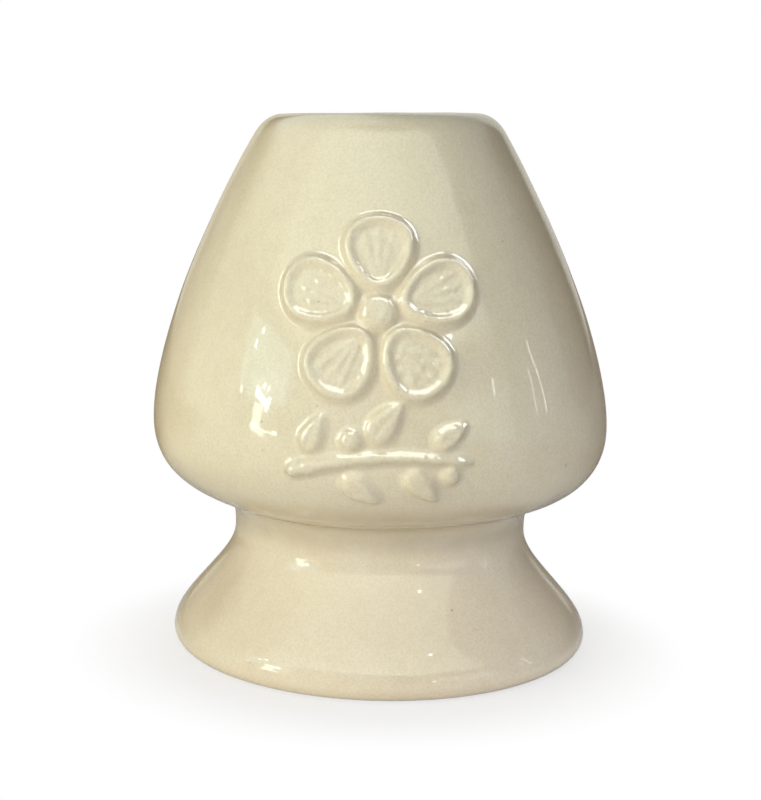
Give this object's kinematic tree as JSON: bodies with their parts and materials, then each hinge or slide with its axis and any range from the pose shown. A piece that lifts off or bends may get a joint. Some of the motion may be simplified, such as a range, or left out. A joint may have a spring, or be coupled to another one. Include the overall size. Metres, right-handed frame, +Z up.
{
  "type": "tea whisk holder",
  "caption": "Hollow glazed ceramic bulb with a small round mouth, on a waisted, flared ring foot, with a blossom and a twig in relief on the front.",
  "frame": {"origin": "centre of the foot's flat ring, on the surface that the holder stands on", "axes": "+Z up through the mouth, which is the axis that the bulb and the foot are turned about; the relief faces -Y and +X is to its right"},
  "size_m": [0.06, 0.0609, 0.0708],
  "materials": {
    "ivory_glaze": "glossy transparent glaze over ivory clay"
  },
  "bodies": {
    "root": {"bulb": "ivory_glaze", "foot": "ivory_glaze", "blossom_petal_1": "ivory_glaze", "blossom_petal_2": "ivory_glaze", "blossom_petal_3": "ivory_glaze", "blossom_petal_4": "ivory_glaze", "blossom_petal_5": "ivory_glaze", "blossom_heart": "ivory_glaze", "twig_stem": "ivory_glaze", "twig_leaf_1": "ivory_glaze", "twig_leaf_2": "ivory_glaze", "twig_leaf_3": "ivory_glaze", "twig_leaf_4": "ivory_glaze", "twig_leaf_5": "ivory_glaze", "twig_bud_1": "ivory_glaze", "twig_bud_2": "ivory_glaze"}
  },
  "joints": []
}
